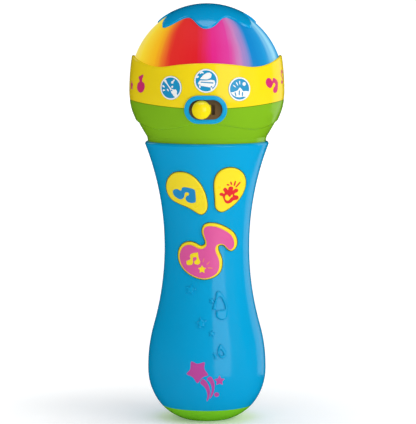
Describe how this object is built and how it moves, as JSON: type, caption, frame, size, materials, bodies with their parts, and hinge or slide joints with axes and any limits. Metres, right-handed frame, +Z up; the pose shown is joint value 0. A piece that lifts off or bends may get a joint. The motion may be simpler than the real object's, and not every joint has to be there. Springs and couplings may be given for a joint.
{
  "type": "toy microphone",
  "caption": "Toy sing-along microphone with a waisted handle, shaped push buttons, a round head with a light-up dome, a slide switch and a battery door.",
  "frame": {"origin": "centre of the flat foot under the base cap", "axes": "+Z up along the handle's axis to the top of the dome, buttons and slide switch face -Y, battery door and speaker grille face +Y, +X to the right as seen from the front"},
  "size_m": [0.0818, 0.0839, 0.22],
  "materials": {
    "handle_plastic": "glossy moulded, bright blue",
    "bowl_plastic": "glossy moulded, lime green",
    "base_plastic": "glossy moulded, green",
    "band_plastic": "glossy moulded, yellow",
    "dome_plastic": "translucent, lit from inside, rainbow coloured",
    "cap_plastic": "glossy moulded, blue",
    "bezel_plastic": "glossy moulded, blue",
    "button_plastic": "glossy moulded, yellow",
    "inlay_plastic": "glossy pink second colour",
    "knob_plastic": "glossy moulded, yellow",
    "sticker_print": "printed label, satin film",
    "screw_steel": "plain steel",
    "spring_steel": "nickel plated",
    "magnet_steel": "plated steel",
    "board_laminate": "green circuit board",
    "chip_resin": "black resin",
    "silicone": "soft silicone",
    "cone_paper": "black paper cone",
    "tray_plastic": "white reflector",
    "led_plastic_yellow": "clear tinted",
    "led_plastic_red": "clear tinted",
    "led_plastic_pink": "clear tinted",
    "led_plastic_blue": "clear tinted",
    "tray_black": "black moulded",
    "cell_sleeve": "plain battery sleeve",
    "wire_red": "insulated wire",
    "wire_black": "insulated wire"
  },
  "bodies": {
    "microphone": {"handle_front_shell": "handle_plastic", "handle_back_shell": "handle_plastic", "base_cap": "base_plastic", "head_bowl": "bowl_plastic", "head_band": "band_plastic", "light_dome": "dome_plastic", "dome_cap": "cap_plastic", "sticker_guitar": "sticker_print", "sticker_piano": "sticker_print", "sticker_stage": "sticker_print", "switch_bezel": "bezel_plastic", "switch_slot_plate": "knob_plastic", "slide_switch_body": "chip_resin", "switch_board": "board_laminate", "switch_board_screws": "screw_steel", "left_button_dome": "silicone", "right_button_dome": "silicone", "note_button_dome": "silicone", "main_board": "board_laminate", "sound_chip": "chip_resin", "capacitors": "chip_resin", "board_screws": "screw_steel", "speaker_frame": "tray_black", "speaker_magnet": "magnet_steel", "speaker_cone": "cone_paper", "led_yellow": "led_plastic_yellow", "led_red": "led_plastic_red", "led_pink": "led_plastic_pink", "led_blue": "led_plastic_blue", "reflector_tray": "tray_plastic", "led_board": "board_laminate", "tray_screws": "screw_steel", "battery_tray": "tray_black", "battery_cells": "cell_sleeve", "battery_contacts": "spring_steel", "battery_springs": "spring_steel", "handle_screws": "screw_steel", "battery_wires": "wire_red", "speaker_wires": "wire_black", "led_wires": "wire_red", "switch_wires": "wire_black"},
    "mode_slider": {"slider_knob": "knob_plastic", "slide_switch_lever": "chip_resin"},
    "left_button": {"left_button": "button_plastic"},
    "right_button": {"right_button": "button_plastic"},
    "note_button": {"note_button": "button_plastic", "note_button_inlay": "inlay_plastic"},
    "battery_door": {"battery_door": "handle_plastic"},
    "door_screw": {"battery_door_screw": "screw_steel"}
  },
  "joints": [
    {"name": "mode_slide", "type": "slide", "parent": "microphone", "child": "mode_slider", "axis": [1, 0, 0], "range_m": [0, 0.0044]},
    {"name": "left_button_press", "type": "slide", "parent": "microphone", "child": "left_button", "axis": [0, 1, 0], "range_m": [0, 0.0015], "stiffness_N_per_m": 900, "springref_m": -0.0003, "deforming": ["left_button_dome"]},
    {"name": "right_button_press", "type": "slide", "parent": "microphone", "child": "right_button", "axis": [0, 1, 0], "range_m": [0, 0.0015], "stiffness_N_per_m": 900, "springref_m": -0.0003, "deforming": ["right_button_dome"]},
    {"name": "note_button_press", "type": "slide", "parent": "microphone", "child": "note_button", "axis": [0, 1, 0], "range_m": [0, 0.0015], "stiffness_N_per_m": 900, "springref_m": -0.0003, "deforming": ["note_button_dome"]},
    {"name": "battery_door_lift", "type": "slide", "parent": "microphone", "child": "battery_door", "axis": [0, 1, 0], "range_m": [0, 0.03]},
    {"name": "door_screw_turn", "type": "hinge", "parent": "battery_door", "child": "door_screw", "pos_m": [0, 0.016, 0.0765], "axis": [0, 1, 0], "continuous": true}
  ]
}
